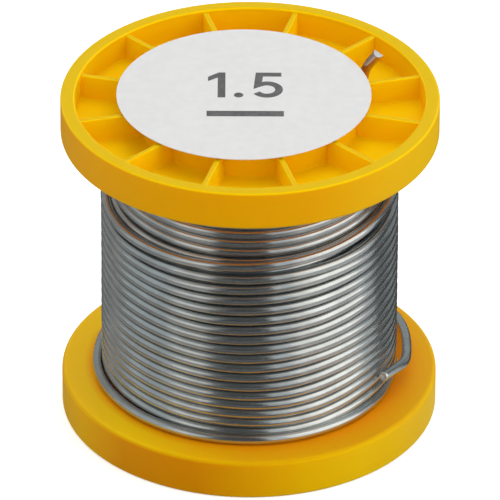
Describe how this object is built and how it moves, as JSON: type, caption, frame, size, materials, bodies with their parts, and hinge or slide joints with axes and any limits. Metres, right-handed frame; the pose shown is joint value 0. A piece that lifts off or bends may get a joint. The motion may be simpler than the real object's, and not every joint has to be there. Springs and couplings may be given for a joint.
{
  "type": "solder wire spool",
  "caption": "Small moulded spool with ribbed flanges and a paper label, wound with bright solder wire whose loose end lies on the lower flange.",
  "frame": {"origin": "middle of the lower flange's rest face", "axes": "+Z along the spool's axis towards the labelled flange, -Y towards the viewer of the front"},
  "size_m": [0.0542, 0.0542, 0.053],
  "materials": {
    "spool_plastic": "smooth moulded amber yellow polystyrene",
    "solder": "bright drawn tin alloy",
    "label_paper": "coated label paper"
  },
  "bodies": {
    "root": {"lower_flange": "spool_plastic", "upper_flange": "spool_plastic", "barrel": "spool_plastic", "inner_layers": "solder", "solder_wire": "solder", "top_label": "label_paper"}
  },
  "joints": []
}
